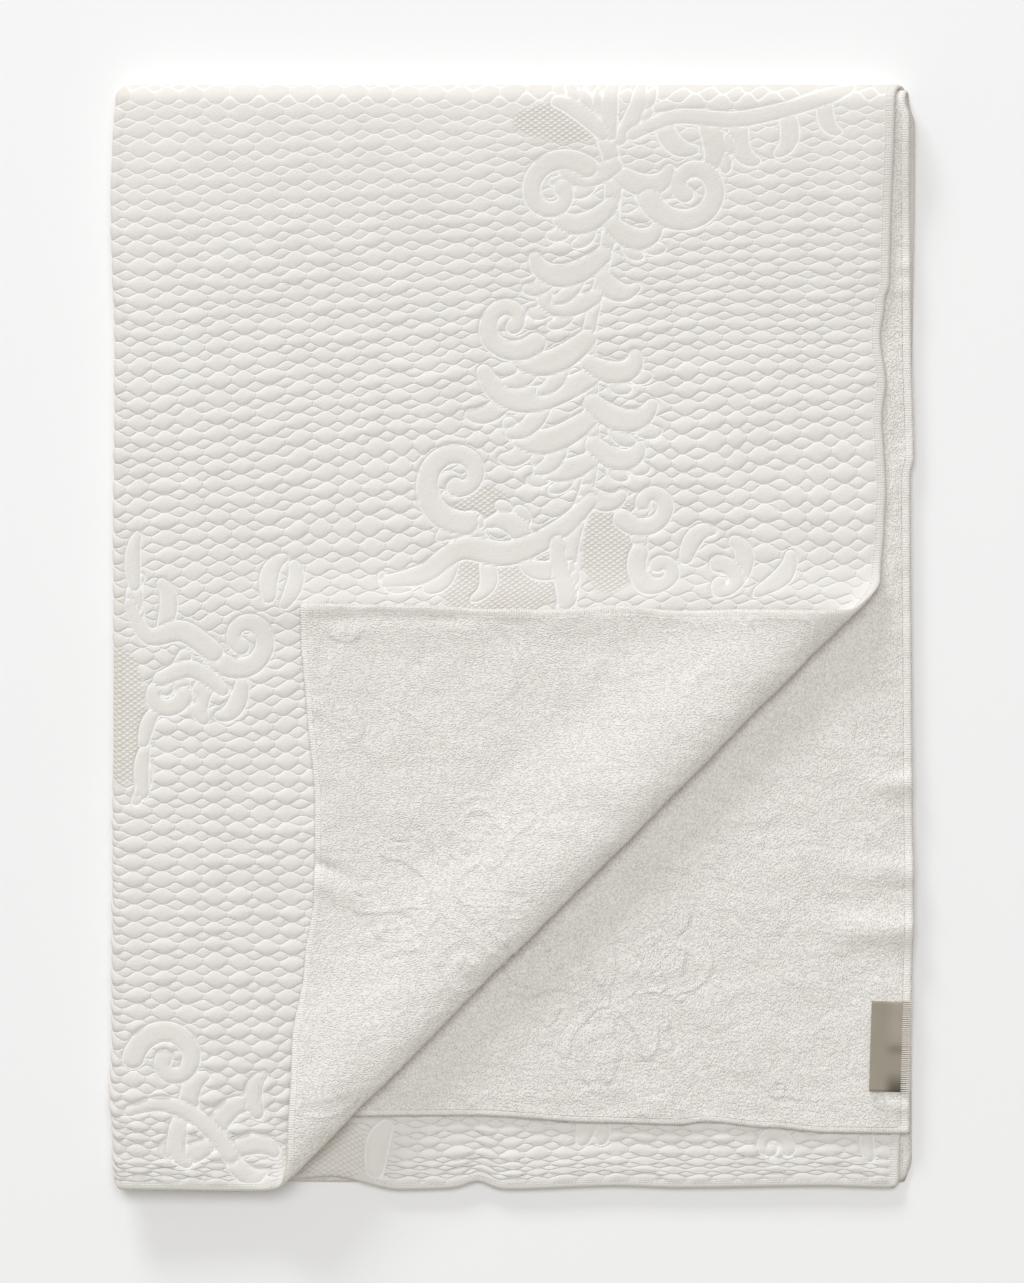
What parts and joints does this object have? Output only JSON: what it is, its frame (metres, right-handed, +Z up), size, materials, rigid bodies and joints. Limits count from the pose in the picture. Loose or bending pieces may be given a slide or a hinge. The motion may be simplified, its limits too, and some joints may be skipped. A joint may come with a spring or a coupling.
{
  "type": "folded quilted coverlet",
  "caption": "Cream quilted cotton coverlet folded in four and lying flat, with one corner of its top layer turned back over itself.",
  "frame": {"origin": "middle of the packet's outline, on the surface it lies on", "axes": "+X across the packet from its side fold to its right hems, +Y along it towards the top fold, +Z up"},
  "size_m": [0.6368, 0.8746, 0.0416],
  "materials": {
    "cotton": "matte quilted cotton, cream white, with a terry-like reverse",
    "label": "soft satin ribbon, taupe, blank"
  },
  "bodies": {
    "root": {"coverlet": "cotton", "label": "label"}
  },
  "joints": []
}
